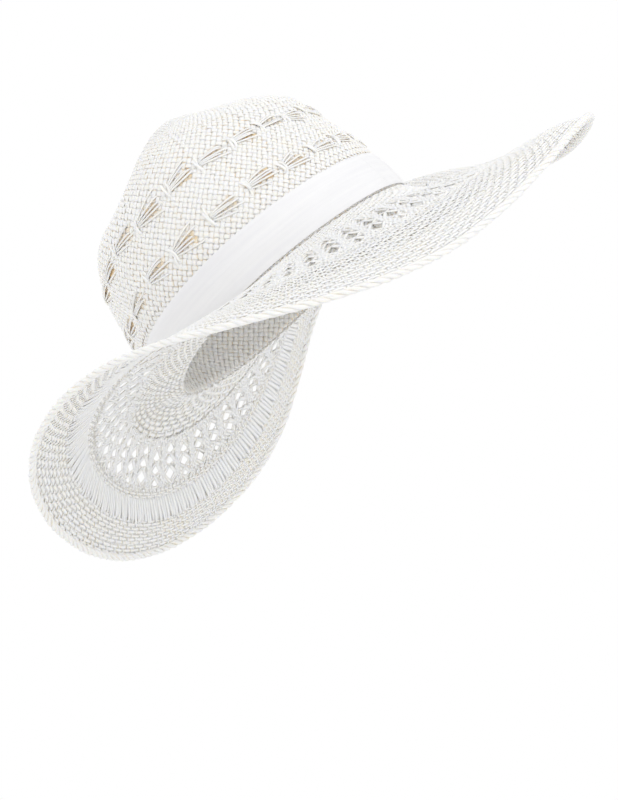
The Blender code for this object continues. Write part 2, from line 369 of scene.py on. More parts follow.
def strand_corners(strands):
    """Corners of every section along each strand of a bundle."""
    points, section = strands["points"], strands["section"]
    count, steps = points.shape[:2]
    if strands["closed"]:
        ahead = np.roll(points, -1, axis=1) - np.roll(points, 1, axis=1)
    else:
        ahead = np.gradient(points, axis=1)
    side = unit(np.cross(ahead, strands["normals"]))
    out = unit(np.cross(side, ahead))
    out *= np.sign(np.sum(out * strands["normals"], axis=2, keepdims=True))
    width = np.broadcast_to(strands["width"], (count, steps))[..., None]
    thickness = np.broadcast_to(strands["thickness"], (count, steps))[..., None]
    corners = (points[:, :, None] + side[:, :, None] * (section[:, 0] * width)[..., None]
               + out[:, :, None] * (section[:, 1] * thickness)[..., None])
    # Painted shade: the mask below tints tan the parts of a strand that lie low.  Without a level
    # that is the lower half of each section, which on the rope faces in between its strands; with
    # one, it is what lies deep in the weave.
    if strands["level"] is None:
        deep = np.broadcast_to(np.clip(0.6 - 1.2 * section[:, 1], 0, 1), corners.shape[:3])
    else:
        level = strands["level"][..., None] + section[:, 1] * thickness
        deep = np.clip(1 - np.abs(level) / SHADE_FADE, 0, 1)
    return corners, deep


def strand_faces(shape, closed):
    """Quads along each strand, with a cap on either end of an open one."""
    index = np.arange(np.prod(shape)).reshape(shape)
    beside = np.roll(index, -1, axis=2)
    if closed:
        ahead, ahead_beside = np.roll(index, -1, axis=1), np.roll(beside, -1, axis=1)
        return np.stack([index, ahead, ahead_beside, beside], axis=3).reshape(-1, 4)
    quads = np.stack([index[:, :-1], index[:, 1:], beside[:, 1:], beside[:, :-1]], axis=3)
    quads = quads.reshape(-1, 4)
    caps = []
    for low in range(0, shape[2] // 2 - 1):
        corner = (low, low + 1, shape[2] - 2 - low, shape[2] - 1 - low)
        caps += [index[:, 0][:, corner], index[:, -1][:, corner[::-1]]]
    return np.concatenate([quads, *caps])


# %% Strands gathered into one mesh
def gather(bundles):
    """Corners and faces of all the bundles, and the run, tone and depth at each corner."""
    corners, faces, runs, tones, shade_depths = [], [], [], [], []
    base = 0
    for strands in bundles:
        place, deep = strand_corners(strands)
        count, steps, sides = deep.shape
        walked = np.cumsum(np.linalg.norm(np.diff(strands["points"], axis=1), axis=2), axis=1)
        walked = np.concatenate([np.zeros((count, 1)), walked], axis=1) * 1000
        run = np.stack([np.broadcast_to(walked[..., None], deep.shape),
                        np.broadcast_to(strands["section"][:, 0], deep.shape)], axis=3)
        tone = np.broadcast_to(strands["tone"][:, None, None], deep.shape)
        corners.append(place.reshape(-1, 3))
        faces.append(strand_faces(deep.shape, strands["closed"]) + base)
        runs.append(run.reshape(-1, 2))
        tones.append(tone.ravel())
        shade_depths.append(deep.ravel())
        base += deep.size
    return [np.concatenate(part) for part in (corners, faces, runs, tones, shade_depths)]


def strand_mesh(name, bundles):
    """One mesh from bundles of strands, with each strand's tone, depth and run on it."""
    corners, faces, runs, tones, shade_depths = gather(bundles)
    mesh = bpy.data.meshes.new(name)
    mesh.vertices.add(len(corners))
    mesh.vertices.foreach_set("co", corners.astype(np.float32).ravel())
    mesh.loops.add(faces.size)
    mesh.loops.foreach_set("vertex_index", faces.astype(np.int32).ravel())
    mesh.polygons.add(len(faces))
    mesh.polygons.foreach_set("loop_start", np.arange(0, faces.size, 4, dtype=np.int32))
    mesh.update(calc_edges=True)
    run_map = mesh.uv_layers.new(name="run")
    run_map.data.foreach_set("uv", runs[faces.ravel()].astype(np.float32).ravel())
    # deep carries the painted tan shade; tone is the strands' own random warmth.
    for kind, values in (("tone", tones), ("deep", shade_depths)):
        field = mesh.attributes.new(kind, "FLOAT", "POINT")
        field.data.foreach_set("value", values.astype(np.float32))
    mesh.shade_smooth()
    thing = bpy.data.objects.new(name, mesh)
    bpy.context.collection.objects.link(thing)
    print(name, "triangles:", 2 * len(faces))
    return thing


# %% [markdown]
# ## Weaving a zone at a slant
# On the crown and in the openwork both directions of strands run at a slant, like the
# strands of a braid: one leans with the turn, the other against it.  They cross once on
# every ring, and the first direction is on top on every other ring, which makes plain
# weave.  Two samples for each crossing are enough, because smooth shading bends the strand
# between them.  A few sines spoil the evenness, as a hand does.

# %% One zone of slanted weave
def ring_places(m, rings):
    """Ring distances at ring numbers m, which may run a little past either end."""
    last = len(rings) - 1
    before = np.clip(m, None, 0) * (rings[1] - rings[0])
    beyond = np.clip(m - last, 0, None) * (rings[-1] - rings[-2])
    return np.interp(m, np.arange(last + 1), rings) + before + beyond


MIDDLE = -STRAW_WALL / 2
END_SINK, END_REACH = 0.0008, 0.6  # metres, rings
# The first sinks the weave behind a fan; the second only deepens the painted tan shade there.
FAN_SINK, FAN_SHADE_DEPTH = 0.0006, 0.0004  # how deep the weave lies behind a fan, and looks
WANDER, UNEVEN = 0.045, 0.00007  # sideways in strands, up and down in metres


def sunk_ends(m, last):
    """How far a strand that ends with the zone dips under its neighbours."""
    return END_SINK * (np.clip(END_REACH - m, 0, 1) + np.clip(m - last + END_REACH, 0, 1))


def weave_zone(surface, strands, rings, rise=0.00042, widths=(0.95, 0.95), section=STRIP,
               samples=(-0.25, 0.25), move=None, sunk=None):
    """Both directions of one zone of plain weave; widths are shares of the spacing.

    move pushes strands aside and sunk says where they lie deeper.
    """
    last = len(rings) - 1
    m_node = np.repeat(np.arange(last + 1), len(samples))
    m = m_node + np.tile(samples, last + 1)
    swell = np.cos(np.array(samples) * 1.6)
    number = np.arange(strands)[:, None]
    families = []
    for first in (True, False):
        slope = 0.5 if first else -0.5
        x = number + slope * m[None]
        on_top = ((m_node[None] + 0 * number) % 2 == 0) == first
        level = rise * np.tile(swell, last + 1) * np.where(on_top, 1.0, -1.0)
        ring = np.broadcast_to(m[None], x.shape)
        if move is not None:
            x, ring = move(x, ring)
        wander = np.sin(number * 2.399 + 1.3 * m[None]) + np.sin(number * 5.13 - 0.71 * m[None])
        x = x + WANDER * wander
        across = ring_places(ring, rings)
        level = level + UNEVEN * np.sin(number * 3.7 + m_node[None] * 1.9)
        lift = MIDDLE + level - sunk_ends(m, last)[None]
        if sunk is not None:
            hollow = sunk(x / strands, across)
            lift = lift - FAN_SINK * hollow
            # level only feeds the painted shade: behind a fan the weave is painted tan as if it lay
            # deeper.
            level = level * (1 - hollow) - FAN_SHADE_DEPTH * hollow
        points, normals = surface.read(x / strands, across, lift)
        flat = surface.read(x / strands, across)[0]
        beside = surface.read((x + 1) / strands, across)[0]
        ahead = unit(np.gradient(flat, axis=1))
        spacing = np.linalg.norm(np.cross(beside - flat, ahead), axis=2)
        vary = (1 + 0.06 * np.sin(number * 1.7 + m[None] * 0.9)
                + 0.06 * np.sin(number * 4.3 - m_node[None] * 2.2))
        wide = widths[0 if first else 1] * spacing * vary
        families.append(bundle(points, normals, wide, STRAW_THICKNESS, section, level=level))
    return families


# %% [markdown]
# ## Weaving a zone in courses
# The dense parts of the brim look like courses of long thin bricks.  That look comes from
# strips that run along the rings and pass over and under narrower strands that run
# outwards: each brick is the stretch of a strip between two of its dips.  The strip stays
# on top for longer than it stays below, so the bricks nearly meet.

# %% One zone of courses
OVER_REACH, UNDER_REACH = 0.37, 0.15  # how far a strip keeps its level, in strand spacings


def courses_along(surface, strands, rings, rise, share):
    """Closed strips, one on each ring; their width is a share of the rings' spacing."""
    ring = np.arange(len(rings))[:, None]
    node = np.repeat(np.arange(strands), 2)[None]
    side = np.tile((-1, 1), strands)[None]
    over = (node + ring) % 2 == 0
    turn = (node + 0.5 + side * np.where(over, OVER_REACH, UNDER_REACH)) / strands
    m = (ring + 0.10 * np.sin(2 * np.pi * 5 * turn + 2.4 * ring)
         + 0.07 * np.sin(2 * np.pi * 17 * turn + 5.1 * ring))
    level = rise * np.where(over, 1.0, -1.0) + UNEVEN * np.sin(3.7 * node + 1.9 * ring)
    points, normals = surface.read(turn, ring_places(m, rings), MIDDLE + level)
    beside = surface.read(turn, ring_places(m + 1, rings), MIDDLE + level)[0]
    spacing = np.linalg.norm(beside - points, axis=2)
    vary = 1 + 0.07 * np.sin(1.7 * node + 2.9 * ring) + 0.05 * np.sin(4.3 * node - 2.2 * ring)
    wide = share * spacing * vary
    return bundle(points, normals, wide, STRAW_THICKNESS, closed=True, level=level)


def strands_outwards(surface, strands, rings, rise, share):
    """The narrower strands that cross the courses, under where those are over."""
    last = len(rings) - 1
    number = np.arange(strands)[:, None]
    m_node = np.repeat(np.arange(last + 1), 2)[None]
    m = m_node + np.tile((-0.25, 0.25), last + 1)[None]
    over = (number + m_node) % 2 == 1
    level = rise * np.where(over, 0.6, -1.0)
    lift = MIDDLE + level - sunk_ends(m, last)
    x = number + 0.5 + 0.05 * np.sin(2.399 * number + 1.3 * m)
    across = ring_places(m, rings)
    points, normals = surface.read(x / strands, across, lift)
    beside = surface.read((x + 1) / strands, across, lift)[0]
    wide = share * np.linalg.norm(beside - points, axis=2)
    return bundle(points, normals, wide, STRAW_THICKNESS, level=level)


def course_zone(surface, strands, rings, rise, widths):
    """Both directions of one zone woven in courses."""
    return [courses_along(surface, strands, rings, rise, widths[0]),
            strands_outwards(surface, strands, rings, rise, widths[1])]


# %% [markdown]
# ## The brim
# Going outwards: a dense ring beside the crown, the ring of openwork and a dense ring up
# to the edge.  The dense rings are woven in courses: strips run along the rings and pass
# over and under narrower strands that run outwards, so they look like long thin bricks.
# On the underside, long smooth strands lie side by side over part of the outer ring.  The
# number of strands grows outwards, as the weaver adds straw to keep the cloth flat.

# %% Dense rings of the brim
pieces = {}
BRIM_WIDTHS, BRIM_RISE = (1.10, 0.48), 0.00030
INNER_STRANDS, OUTER_STRANDS = 156, 262  # even numbers, so that over and under close up
inner_rings = np.linspace(-0.0015, 0.0305, 13)
outer_rings = np.linspace(0.0655, 0.1190, 21)
inner = course_zone(brim, INNER_STRANDS, inner_rings, BRIM_RISE, BRIM_WIDTHS)
outer = course_zone(brim, OUTER_STRANDS, outer_rings, BRIM_RISE, BRIM_WIDTHS)
print("courses in the inner and outer ring:", len(inner_rings), len(outer_rings))

# %% [markdown]
# The openwork is the same slanted weave with openings in it.  Cutting holes would leave cut
# strands, so the strands are pushed aside instead, as a weaver's fingers do: each opening
# has a place between four strands and pushes those near it outwards.

# %% Openings of the openwork ring, in strand numbers
LACE_STRANDS, LACE_COLUMNS = 256, 64
OPENING_SIZE, END_OPENING = 1.42, 0.72  # in strands; the share of it at the ring's borders
lace_rings = np.linspace(0.0275, 0.0675, 17)


def lace_holes():
    """Centres and sizes of the openings: each column is half a step from the next."""
    holes = []
    for column in range(LACE_COLUMNS):
        for m in ((2, 6, 10, 14) if column % 2 else (4, 8, 12)):
            x = LACE_STRANDS / LACE_COLUMNS * column + 0.5
            size = OPENING_SIZE * (1 - 0.20 * rng.random())
            size *= END_OPENING if m in (2, 14) else 1
            holes.append((x - m / 2, x + m / 2, size))
    return holes


openings = lace_holes()
print("openings:", len(openings))


# %% Strands pushed aside by the openings
def lace_move(x, m):
    """Move each point of the strands away from the openings near it."""
    for hole_a, hole_b, size in openings:
        for again in (-LACE_STRANDS, 0, LACE_STRANDS):
            near = np.abs(x - (hole_a + hole_b) / 2 - again) < 4.5
            if not near.any():
                continue
            a, b = (x - m / 2)[near], (x + m / 2)[near]
            da, db = a - hole_a - again, b - hole_b - again
            reach = 1.7 * size + 0.7
            pull_a = size ** 2 * np.clip(1 - (db / reach) ** 2, 0, 1) ** 2
            pull_b = size ** 2 * np.clip(1 - (da / reach) ** 2, 0, 1) ** 2
            far = np.clip((3.4 - np.maximum(np.abs(da), np.abs(db))) / 1.4, 0, 1)
            a = a + far * np.sign(da) * (np.sqrt(da ** 2 + pull_a) - np.abs(da))
            b = b + far * np.sign(db) * (np.sqrt(db ** 2 + pull_b) - np.abs(db))
            x, m = x.copy(), m.copy()
            x[near], m[near] = (a + b) / 2, b - a
    return x, m


openwork = weave_zone(brim, LACE_STRANDS, lace_rings, rise=BRIM_RISE, widths=(1.0, 0.92),
                      section=LENS, samples=(-0.33, 0, 0.33), move=lace_move)

# %% [markdown]
# Part of the brim's underside is covered with long smooth strands that lie side by side and
# nearly straight outwards.  They are separate tubes just under the weave, with slits
# between them towards their outer ends, where the real ones fan out.

# %% Smooth strands on the underside
SMOOTH_STRANDS, SMOOTH_STEPS = 420, 9
SMOOTH_FROM, SMOOTH_TO = 0.0735, 0.0965


def smooth_ring():
    """Long strands side by side under the outer weave, nearly straight outwards."""
    t = np.linspace(0, 1, SMOOTH_STEPS)
    number = np.arange(SMOOTH_STRANDS)[:, None]
    length = 1 + 0.05 * np.sin(number * 5.1)
    across = SMOOTH_FROM + (SMOOTH_TO - SMOOTH_FROM) * t[None] * length
    x = number + 0.3 * np.sin(number * 1.9) * t[None] + 1.2 * t[None]
    lift = MIDDLE - 0.0009 - 0.0001 * np.sin(number * 2.3) + 0.0014 * np.abs(2 * t[None] - 1) ** 6
    points, normals = brim.read(x / SMOOTH_STRANDS, across, lift)
    beside = brim.read((x + 1) / SMOOTH_STRANDS, across, lift)[0]
    spacing = np.linalg.norm(beside - points, axis=2)
    slit = np.clip(3 * t[None] - 1.6, 0, 1) * (0.35 + 0.35 * np.sin(number * 2.9))
    wide = (1.45 - slit) * spacing
    # Their level only sets the painted shade: they are tinted tan as strands lying under the weave.
    return bundle(points, normals, wide, STRAW_THICKNESS, level=-0.0006 + 0 * lift)


smooth = smooth_ring()

# %% [markdown]
# ## The crown
# The same slanted weave climbs the crown.  Where the crown narrows, the weaver drops some
# strands, so there is a lower and an upper zone.  The rings are spaced by the girth there,
# which keeps the cells square all the way up.

# %% Rings of the crown's weave
CROWN_STRANDS, UPPER_STRANDS = 124, 100


def ring_run(low, high, strands):
    """Ring distances from low to high, spaced so that the cells stay square."""
    rings = [low]
    while rings[-1] < high:
        rings.append(rings[-1] + np.interp(rings[-1], crown_rings, crown_round) / strands / 2)
    return np.array(rings)


CROWN_FROM, CROWN_CHANGE, CROWN_TO = 0.0, 0.078, 0.128
ZONE_OVERLAP = 0.002
low_rings = ring_run(CROWN_FROM, CROWN_CHANGE, CROWN_STRANDS)
high_rings = ring_run(low_rings[-1] - ZONE_OVERLAP, CROWN_TO, UPPER_STRANDS)
print("rings up the crown's side:", len(low_rings), len(high_rings))

# %% [markdown]
# The fans are groups of a few narrow strands that leave the weave, lie free for the width
# of a finger, and are gathered by two thick strands at one end.  Behind them the weave
# lies deeper and is painted with a warm tan shade.  They run round the hat in two tiers, and a
# little chance in place, tilt and length keeps them from looking stamped.

# %% Places of the fans
FANS, FAN_LENGTH, FAN_STRANDS = 20, 0.024, 5
FAN_TIERS = (0.046, 0.079)  # distances from the crown's foot
TURN_SCATTER, RING_SCATTER = 0.0035, 0.0012


def round_at(across):
    """The crown's girth at a distance from its foot."""
    return np.interp(across, crown_rings, crown_round)


def fan_places():
    """Turn and ring distance of each fan's gathered end: two tiers, staggered."""
    places = []
    for tier, across in enumerate(FAN_TIERS):
        for fan in range(FANS):
            places.append(((fan + 0.5 * tier) / FANS + TURN_SCATTER * rng.standard_normal(),
                           across + RING_SCATTER * rng.standard_normal()))
    return places


fans = fan_places()
print("fans:", len(fans))


def behind_fans(turn, across):
    """How deep the weave lies behind the fans: 1 in the middle of one, 0 outside."""
    hollow = np.zeros(np.broadcast(turn, across).shape)
    for fan_turn, fan_across in fans:
        away = (turn - fan_turn + 0.5) % 1.0 - 0.5
        out = -away * round_at(fan_across)
        aside = across - fan_across
        half = 0.0012 + 0.20 * out
        inside = (np.clip((half - np.abs(aside)) / 0.0012, 0, 1) * np.clip(out / 0.002, 0, 1)
                  * np.clip((FAN_LENGTH - 0.002 - out) / 0.003, 0, 1))
        hollow = np.maximum(hollow, inside)
    return hollow


low_weave = weave_zone(crown, CROWN_STRANDS, low_rings, sunk=behind_fans)
high_weave = weave_zone(crown, UPPER_STRANDS, high_rings, sunk=behind_fans)


# %% Strands of the fans and the thick strands that gather them
# The levels only set the painted shade: these strands count as this far above mid-wall, so their
# lower sides are tinted tan.
FAN_SIZE, FAN_SHADE_LEVEL = (0.0015, 0.0009), 0.0005  # width and thickness, height over mid-wall
KNOT_SIZE, KNOT_SHADE_LEVEL = (0.0019, 0.0012), 0.0007


def fan_bundles():
    """The free strands of every fan, and the two thick strands over each gathered end."""
    fan_paths, fan_normals, knot_paths, knot_normals = [], [], [], []
    t = np.linspace(0, 1, 9)
    for fan_turn, fan_across in fans:
        round_here = round_at(fan_across)
        tilt, spread = radians(4) * rng.standard_normal(), radians(14 + 12 * rng.random())
        for strand in range(FAN_STRANDS):
            share = strand / (FAN_STRANDS - 1) - 0.5
            angle = tilt + spread * share + radians(2) * rng.standard_normal()
            length = FAN_LENGTH * (0.75 + 0.4 * rng.random())
            out = t * length * cos(angle)
            aside = share * 0.0026 + t * length * sin(angle) + 0.0012 * share * np.sin(np.pi * t)
            lift = 0.0003 - 0.0022 * np.abs(2 * t - 1) ** 5 + 0.0003 * rng.random()
            path, normal = crown.read(fan_turn - out / round_here, fan_across + aside, lift)
            fan_paths.append(path)
            fan_normals.append(normal)
        for knot in (-1, 1):
            aside = (t - 0.5) * (0.010 + 0.004 * rng.random()) + 0.001 * rng.standard_normal()
            bow = 0.0016 + 0.0012 * rng.standard_normal()
            out = 0.0006 - knot * 0.0013 * (2 * t - 1) + bow * (1 - (2 * t - 1) ** 2)
            lift = 0.0007 + 0.0002 * knot - 0.0024 * np.abs(2 * t - 1) ** 4
            path, normal = crown.read(fan_turn - out / round_here, fan_across + aside, lift)
            knot_paths.append(path)
            knot_normals.append(normal)
    fan_level = np.full(np.shape(fan_paths)[:2], FAN_SHADE_LEVEL)
    knot_level = np.full(np.shape(knot_paths)[:2], KNOT_SHADE_LEVEL)
    fan = bundle(np.array(fan_paths), np.array(fan_normals), *FAN_SIZE, level=fan_level)
    knot = bundle(np.array(knot_paths), np.array(knot_normals), *KNOT_SIZE, ROUND, level=knot_level)
    return [fan, knot]


fan_strands = fan_bundles()

# %% [markdown]
# Slanted strands would crowd together at the top of the crown.  A weaver starts a hat there
# with a square patch of plain weave, so the top is closed in the same way, with two sets of
# straight strips that run a little under the slanted ones.

# %% The square patch at the top
PATCH_OVERLAP, PATCH_PITCH, PATCH_STRIP = 0.006, 0.0031, 0.0029


def crown_patch():
    """Two sets of straight strips over the crown's top, crossing squarely."""
    reach = crown.high - CROWN_TO + PATCH_OVERLAP
    pitch = PATCH_PITCH
    lines = np.arange(-reach, reach + 1e-9, pitch)
    run = np.arange(-reach - pitch, reach + pitch + 1e-9, pitch / 2) + pitch / 4
    bundles = []
    for first in (True, False):
        for number, line in enumerate(lines):
            half = np.sqrt(max(reach ** 2 - line ** 2, 0))
            keep = run[np.abs(run) < half]
            if len(keep) < 4:
                continue
            u, v = (keep, np.full_like(keep, line)) if first else (np.full_like(keep, line), keep)
            radius, angle = np.hypot(u, v), np.arctan2(v, u)
            crossing = np.round((keep - lines[0]) / pitch).astype(int)
            on_top = ((crossing + number) % 2 == 0) == first
            lift = MIDDLE + 0.0004 * np.where(on_top, 1, -1)
            lift = lift - 0.0012 * np.clip(1 - (half - np.abs(keep)) / 0.004, 0, 1)
            points, normals = crown.read(angle / (2 * np.pi) + 0.125, crown.high - radius, lift)
            level = (lift - MIDDLE)[None]
            bundles.append(bundle(points[None], normals[None], PATCH_STRIP, STRAW_THICKNESS,
                                  level=level))
    return bundles


patch = crown_patch()
print("strips in the patch:", len(patch))

# %% Crown and brim become meshes
for name, bundles in (
        ("crown_weave_leaning", [low_weave[0], high_weave[0]]),
        ("crown_weave_crossing", [low_weave[1], high_weave[1]]),
        ("crown_top_patch", patch),
        ("crown_fans", fan_strands),
        ("brim_weave_inner", inner),
        ("brim_openwork_leaning", [openwork[0]]),
        ("brim_openwork_crossing", [openwork[1]]),
        ("brim_courses", [outer[0]]),
        ("brim_outward_strands", [outer[1]]),
        ("brim_smooth_strands", [smooth])):
    pieces[name] = strand_mesh(name, bundles)

# %% [markdown]
# ## The rope along the edge
# The edge is bound by three thick strands, twisted round each other.  A twisted texture on
# one tube would have a smooth outline, and the real edge is knobbly.  So each strand is a
# helix round the line of the rim, a third of a twist from the next, and it swells and
# shrinks a little on its way.

# %% Twisted edge rope
ROPE_TWIST, TWIST_STEPS, ROPE_STRANDS = 0.0195, 16, 3
ROPE_ACROSS, ROPE_UP = 0.00145, 0.00100  # radii of the twist along and off the brim
ROPE_WIDTH, ROPE_THICKNESS, ROPE_TONE = 0.0029, 0.0025, 0.35


def edge_rope():
    """Three helical strands round the line of the edge braid."""
    edge = brim_grid(turns, np.linspace(0, BRIM_WIDTH - BRAID_WIDTH - FIT_GAP, 125))[:, -2:]
    way = edge[:, 1] - edge[:, 0]
    way /= np.linalg.norm(way, axis=1, keepdims=True)
    line = edge[:, 1]
    along = np.roll(line, -1, axis=0) - np.roll(line, 1, axis=0)
    up = np.cross(along, way)
    up /= np.linalg.norm(up, axis=1, keepdims=True)
    centre = line + way * (FIT_GAP + BRAID_WIDTH / 2) - up * STRAW_WALL / 2
    length = np.linalg.norm(np.roll(centre, -1, axis=0) - centre, axis=1).sum()
    twists = round(length / ROPE_TWIST)
    steps = twists * TWIST_STEPS
    turn = np.arange(steps) / steps
    lookup = Surface(np.stack([centre, centre], axis=1), np.stack([up, up], axis=1), 0, 1)
    sideways = Surface(np.stack([centre, centre], axis=1), np.stack([way, way], axis=1), 0, 1)
    middle, out = lookup.read(turn, np.zeros(steps))
    across = sideways.read(turn, np.zeros(steps))[1]
    strands = []
    for strand in range(ROPE_STRANDS):
        wobble = 0.25 * np.sin(2 * np.pi * 61 * turn + strand)
        phase = 2 * np.pi * (turn * twists + strand / ROPE_STRANDS) + wobble
        aside, off = np.cos(phase)[:, None], np.sin(phase)[:, None]
        offset = across * (aside * ROPE_ACROSS) + out * (off * ROPE_UP)
        facing = across * aside + out * off
        plump = (1 + 0.09 * np.sin(2 * np.pi * 97 * turn + 2.1 * strand)
                 + 0.05 * np.sin(2 * np.pi * 211 * turn))
        strands.append(bundle((middle + offset)[None], facing[None], (ROPE_WIDTH * plump)[None],
                              (ROPE_THICKNESS * plump)[None], ROUND, closed=True))
        strands[-1]["tone"][:] = ROPE_TONE
    print("rope length:", round(length, 3), "twists:", twists)
    return strands


pieces["edge_rope"] = strand_mesh("edge_rope", edge_rope())


# %% [markdown]
# ## The ribbon
# A strip of ribbed white ribbon goes once round the crown's foot, and its end is laid over
# its start.  A cloth simulation would hardly move a ribbon that is pulled tight, so it is
# made as a thin closed sheet that follows the crown, with a few soft creases along it.

# %% Ribbon sheet
def sheet_mesh(name, front, outward, thickness, closed):
    """A thin closed sheet behind a grid of outer points, with its run in millimetres."""
    back = front - outward * thickness
    columns, rings = front.shape[:2]
    section = np.concatenate([front, back[:, ::-1]], axis=1)
    index = np.arange(section.shape[0] * section.shape[1]).reshape(section.shape[:2])
    beside = np.roll(index, -1, axis=1)
    if closed:
        ahead, ahead_beside = np.roll(index, -1, axis=0), np.roll(beside, -1, axis=0)
        faces = np.stack([index, ahead, ahead_beside, beside], axis=2).reshape(-1, 4)
    else:
        quads = np.stack([index[:-1], index[1:], beside[1:], beside[:-1]], axis=2).reshape(-1, 4)
        pairs = [[low, low + 1, 2 * rings - 2 - low, 2 * rings - 1 - low] for low in range(rings - 1)]
        caps = [index[0][pair] for pair in pairs] + [index[-1][pair[::-1]] for pair in pairs]
        faces = np.concatenate([quads, caps])
    mesh = bpy.data.meshes.new(name)
    mesh.from_pydata(section.reshape(-1, 3).tolist(), [], faces.tolist())
    steps = np.linalg.norm(np.diff(front[:, 0], axis=0), axis=1)
    length = np.concatenate([[0], np.cumsum(steps)]) * 1000
    rise = np.linspace(0, BAND_WIDTH * 1000, rings)
    along = np.broadcast_to(length[:, None], section.shape[:2])
    across = np.broadcast_to(np.concatenate([rise, rise[::-1]]), section.shape[:2])
    run = np.stack([along, across], axis=2).reshape(-1, 2)
    corners = np.empty(len(mesh.loops), dtype=np.int32)
    mesh.loops.foreach_get("vertex_index", corners)
    mesh.uv_layers.new(name="run").data.foreach_set("uv", run[corners].astype(np.float32).ravel())
    mesh.shade_smooth()
    mesh.set_sharp_from_angle(angle=radians(50))
    thing = bpy.data.objects.new(name, mesh)
    bpy.context.collection.objects.link(thing)
    print(name, "triangles:", 2 * len(faces), "length:", round(length[-1]), "mm")
    return thing


def ribbon_face(at_turns, low, high, rings):
    """Outer face of the ribbon and the way out, between two heights."""
    rows = np.linspace(0, CROWN_TOP, 400)
    heights = crown_rows(rows)[:, 0] * CROWN_HEIGHT
    form = crown_form(turns, np.interp(np.linspace(low, high, rings), heights, rows))
    outward = normals_of(form)
    whole = Surface(form, outward, 0, 1)
    grid_turn, grid_ring = np.meshgrid(at_turns, np.linspace(0, 1, rings), indexing="ij")
    return whole.read(grid_turn, grid_ring)


# %% Ribbon with soft creases along it, and its lap
RIBBON_FOOT, RIBBON_RINGS, LAP_RINGS, LAP_STEPS = 0.0012, 17, 9, 19
RIBBON_THICKNESS, LAP_THICKNESS, LAP_RISE = 0.0006, 0.0005, 0.00075
LAP_FROM, LAP_TO = 0.742, 0.778  # turns, on the wearer's left


def ribbon():
    """The ribbon once round, with its two edges pulled in a little."""
    at_turns, rings = np.arange(COLUMNS) / COLUMNS, RIBBON_RINGS
    face, outward = ribbon_face(at_turns, RIBBON_FOOT, BAND_WIDTH, rings)
    share = np.linspace(0, 1, rings)[None]
    way = 2 * np.pi * at_turns[:, None]
    crease = (0.00016 * np.sin(3.1 * way + 9 * share) * np.sin(np.pi * share)
              + 0.00010 * np.sin(7 * way - 14 * share) + 0.00008 * np.sin(17 * way + 5 * share))
    pull = -0.00035 * (1 - np.minimum(share, 1 - share) * 10).clip(0, 1)
    front = face + outward * (crease + pull)[..., None]
    return sheet_mesh("ribbon_band", front, outward, RIBBON_THICKNESS, True)


def ribbon_lap():
    """The end of the ribbon, laid over its start on the wearer's left side."""
    lap_turns = np.linspace(LAP_FROM, LAP_TO, LAP_STEPS)
    face, outward = ribbon_face(lap_turns, RIBBON_FOOT, BAND_WIDTH, LAP_RINGS)
    share = np.linspace(0, 1, LAP_STEPS)
    ends = np.minimum(share, 1 - share)[:, None] * 14
    rise = LAP_RISE - 0.0004 * (1 - ends).clip(0, 1) + np.zeros((1, LAP_RINGS))
    front = face + outward * rise[..., None]
    return sheet_mesh("ribbon_lap", front, outward, LAP_THICKNESS, False)


pieces["ribbon_band"] = ribbon()
pieces["ribbon_lap"] = ribbon_lap()

# %% [markdown]
# ## Finishes
# Paper straw is a soft white.  Some strands are a shade warmer than others, the gaps deep in
# the weave are painted a tan shade in patches, and fine fibres run along each strip.  One flat
# colour would look like plastic, so the finish reads what each strand carries: its tone, how
# deep it lies, which sets the painted shade, and its run in millimetres, which stretches the
# fibres along it.

# %% A new material, and a node with its values
def new_finish(name):
    """A material with nodes, its nodes and its links."""
    material = bpy.data.materials.new(name)
    material.use_nodes = True
    return material, material.node_tree.nodes, material.node_tree.links


def add_node(nodes, kind, values=None, **settings):
    """A shader node with its settings, then the values of its own sockets."""
    node = nodes.new("ShaderNode" + kind)
    for setting, value in settings.items():
        setattr(node, setting, value)
    for socket, value in (values or {}).items():
        node.inputs[socket].default_value = value
    return node


# %% Straw colour, its painted shade and straw fibres
def straw_colour_and_shade(nodes, links, light, warm, depth, shade_share):
    """White strands, some a little warmer, with painted tan shade in the deep gaps here and there."""
    where = add_node(nodes, "TexCoord")
    tone = add_node(nodes, "Attribute", attribute_name="tone")
    cloud = add_node(nodes, "TexNoise", {"Scale": 60, "Detail": 3})
    links.new(where.outputs["Object"], cloud.inputs["Vector"])
    warmth = add_node(nodes, "Math", operation="MULTIPLY", use_clamp=True)
    links.new(tone.outputs["Fac"], warmth.inputs[0])
    links.new(cloud.outputs["Fac"], warmth.inputs[1])
    straw = add_node(nodes, "Mix", {"A": (*light, 1), "B": (*warm, 1)}, data_type="RGBA")
    links.new(warmth.outputs[0], straw.inputs["Factor"])
    # Painted shade: parts that lie deep in the weave are mixed towards tan, in patches.
    painted_shade_depth = add_node(nodes, "Attribute", attribute_name="deep")
    gap = add_node(nodes, "MapRange", {"From Min": 0.25, "To Max": shade_share})
    links.new(painted_shade_depth.outputs["Fac"], gap.inputs["Value"])
    patches = add_node(nodes, "TexNoise", {"Scale": 32})
    links.new(where.outputs["Object"], patches.inputs["Vector"])
    patchy = add_node(nodes, "MapRange", {"From Min": 0.42, "From Max": 0.60, "To Min": 0.35})
    links.new(patches.outputs["Fac"], patchy.inputs["Value"])
    shade_amount = add_node(nodes, "Math", operation="MULTIPLY")
    links.new(gap.outputs["Result"], shade_amount.inputs[0])
    links.new(patchy.outputs["Result"], shade_amount.inputs[1])
    shaded = add_node(nodes, "Mix", {"B": (*depth, 1)}, data_type="RGBA")
    links.new(shade_amount.outputs[0], shaded.inputs["Factor"])
    links.new(straw.outputs["Result"], shaded.inputs["A"])
    return shaded.outputs["Result"]


